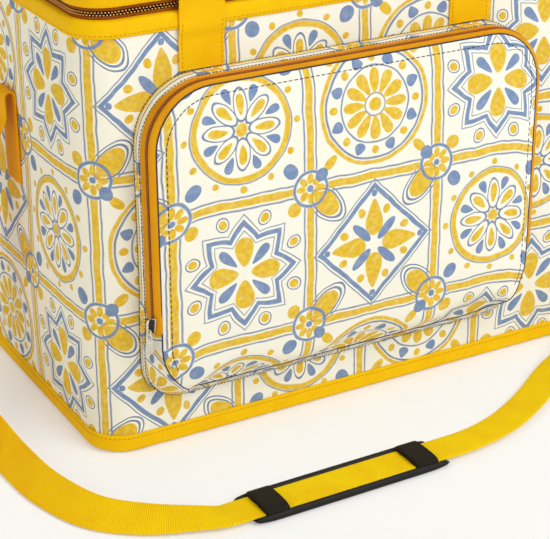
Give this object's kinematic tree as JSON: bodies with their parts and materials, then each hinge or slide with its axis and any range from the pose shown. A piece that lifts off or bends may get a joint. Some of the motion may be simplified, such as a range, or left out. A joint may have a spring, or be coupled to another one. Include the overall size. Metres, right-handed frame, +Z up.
{
  "type": "cooler bag",
  "caption": "Soft-sided insulated cooler bag with a zip-round lid, a zipped front pocket, webbing carry handles and a sewn-on shoulder strap with a sliding rubber pad.",
  "frame": {"origin": "on the floor under the middle of the base", "axes": "+Z up, the front pocket faces -Y, +X to the right of someone who looks at the pocket"},
  "size_m": [0.6256, 0.4935, 0.5076],
  "materials": {
    "printed_canvas": "woven canvas with an ochre, blue and cream tile print",
    "yellow_webbing": "ribbed golden-yellow webbing",
    "yellow_tape": "flat golden-yellow binding and zip tape",
    "zip_coil": "moulded nylon zip coil, ochre",
    "bright_metal": "bright nickel-plated die casting",
    "white_foam": "closed-cell insulating foam",
    "silver_liner": "wipe-clean foil film",
    "stiff_board": "stiff plastic board",
    "black_rubber": "moulded matt rubber"
  },
  "bodies": {
    "bag": {"base_panel": "printed_canvas", "outer_shell": "printed_canvas", "base_binding": "yellow_tape", "mouth_band": "yellow_tape", "base_board": "stiff_board", "base_foam": "white_foam", "front_foam": "white_foam", "back_foam": "white_foam", "left_foam": "white_foam", "right_foam": "white_foam", "inner_liner": "silver_liner", "body_zip_tape": "yellow_tape", "body_zip_coil": "zip_coil", "back_riser": "yellow_webbing", "pocket_rear_gusset": "printed_canvas", "pocket_lower_gusset": "printed_canvas", "pocket_lower_panel": "printed_canvas", "pocket_rear_zip_tape": "yellow_tape", "pocket_rear_coil": "zip_coil", "front_handle_leg_left": "yellow_webbing", "front_handle_leg_right": "yellow_webbing", "back_handle_leg_left": "yellow_webbing", "back_handle_leg_right": "yellow_webbing", "strap_anchor_left": "yellow_webbing", "strap_anchor_right": "yellow_webbing", "shoulder_strap": "yellow_webbing"},
    "lid": {"lid_zip_tape": "yellow_tape", "lid_zip_coil": "zip_coil", "lid_band": "yellow_webbing", "lid_panel": "printed_canvas", "lid_binding": "yellow_tape", "lid_foam": "white_foam", "lid_liner": "silver_liner"},
    "main_slider_left": {"main_slider_left": "bright_metal"},
    "main_slider_right": {"main_slider_right": "bright_metal"},
    "main_pull_left": {"main_pull_left": "bright_metal"},
    "main_pull_right": {"main_pull_right": "bright_metal"},
    "pocket_flap": {"pocket_flap_panel": "printed_canvas", "pocket_flap_lining": "yellow_tape", "pocket_front_zip_tape": "yellow_tape", "pocket_front_coil": "zip_coil"},
    "pocket_slider": {"pocket_slider": "bright_metal"},
    "pocket_pull": {"pocket_pull": "bright_metal"},
    "front_handle": {"front_handle_loop": "yellow_webbing"},
    "back_handle": {"back_handle_loop": "yellow_webbing"},
    "shoulder_pad": {"pad_base": "black_rubber", "pad_keeper_left": "black_rubber", "pad_keeper_right": "black_rubber"}
  },
  "joints": [
    {"name": "lid_hinge", "type": "hinge", "parent": "bag", "child": "lid", "pos_m": [0, 0.149, 0.39075], "axis": [-1, 0, 0], "range_deg": [0, 90]},
    {"name": "main_zip_left", "type": "slide", "parent": "lid", "child": "main_slider_left", "axis": [-1, 0, 0], "range_m": [0, 0.06]},
    {"name": "main_zip_right", "type": "slide", "parent": "lid", "child": "main_slider_right", "axis": [1, 0, 0], "range_m": [0, 0.06]},
    {"name": "main_pull_left_flip", "type": "hinge", "parent": "main_slider_left", "child": "main_pull_left", "pos_m": [-0.0305, -0.1592, 0.36455], "axis": [0, 0, 1], "range_deg": [0, 80]},
    {"name": "main_pull_right_flip", "type": "hinge", "parent": "main_slider_right", "child": "main_pull_right", "pos_m": [-0.0155, -0.1592, 0.36455], "axis": [0, 0, -1], "range_deg": [0, 80]},
    {"name": "pocket_fold", "type": "hinge", "parent": "bag", "child": "pocket_flap", "pos_m": [0, -0.191, 0.113], "axis": [1, 0, 0], "range_deg": [0, 80]},
    {"name": "pocket_zip", "type": "slide", "parent": "bag", "child": "pocket_slider", "axis": [0, 0, 1], "range_m": [0, 0.14]},
    {"name": "pocket_pull_flip", "type": "hinge", "parent": "pocket_slider", "child": "pocket_pull", "pos_m": [-0.2077, -0.17795, 0.1198], "axis": [0, 1, 0], "range_deg": [0, 160]},
    {"name": "front_handle_swing", "type": "hinge", "parent": "bag", "child": "front_handle", "pos_m": [0, -0.1609, 0.36], "axis": [1, 0, 0], "range_deg": [0, 120]},
    {"name": "back_handle_swing", "type": "hinge", "parent": "bag", "child": "back_handle", "pos_m": [0, 0.1609, 0.36], "axis": [-1, 0, 0], "range_deg": [0, 120]},
    {"name": "pad_slide", "type": "slide", "parent": "bag", "child": "shoulder_pad", "axis": [1, 0.0087, 0], "range_m": [-0.008, 0.008]}
  ]
}
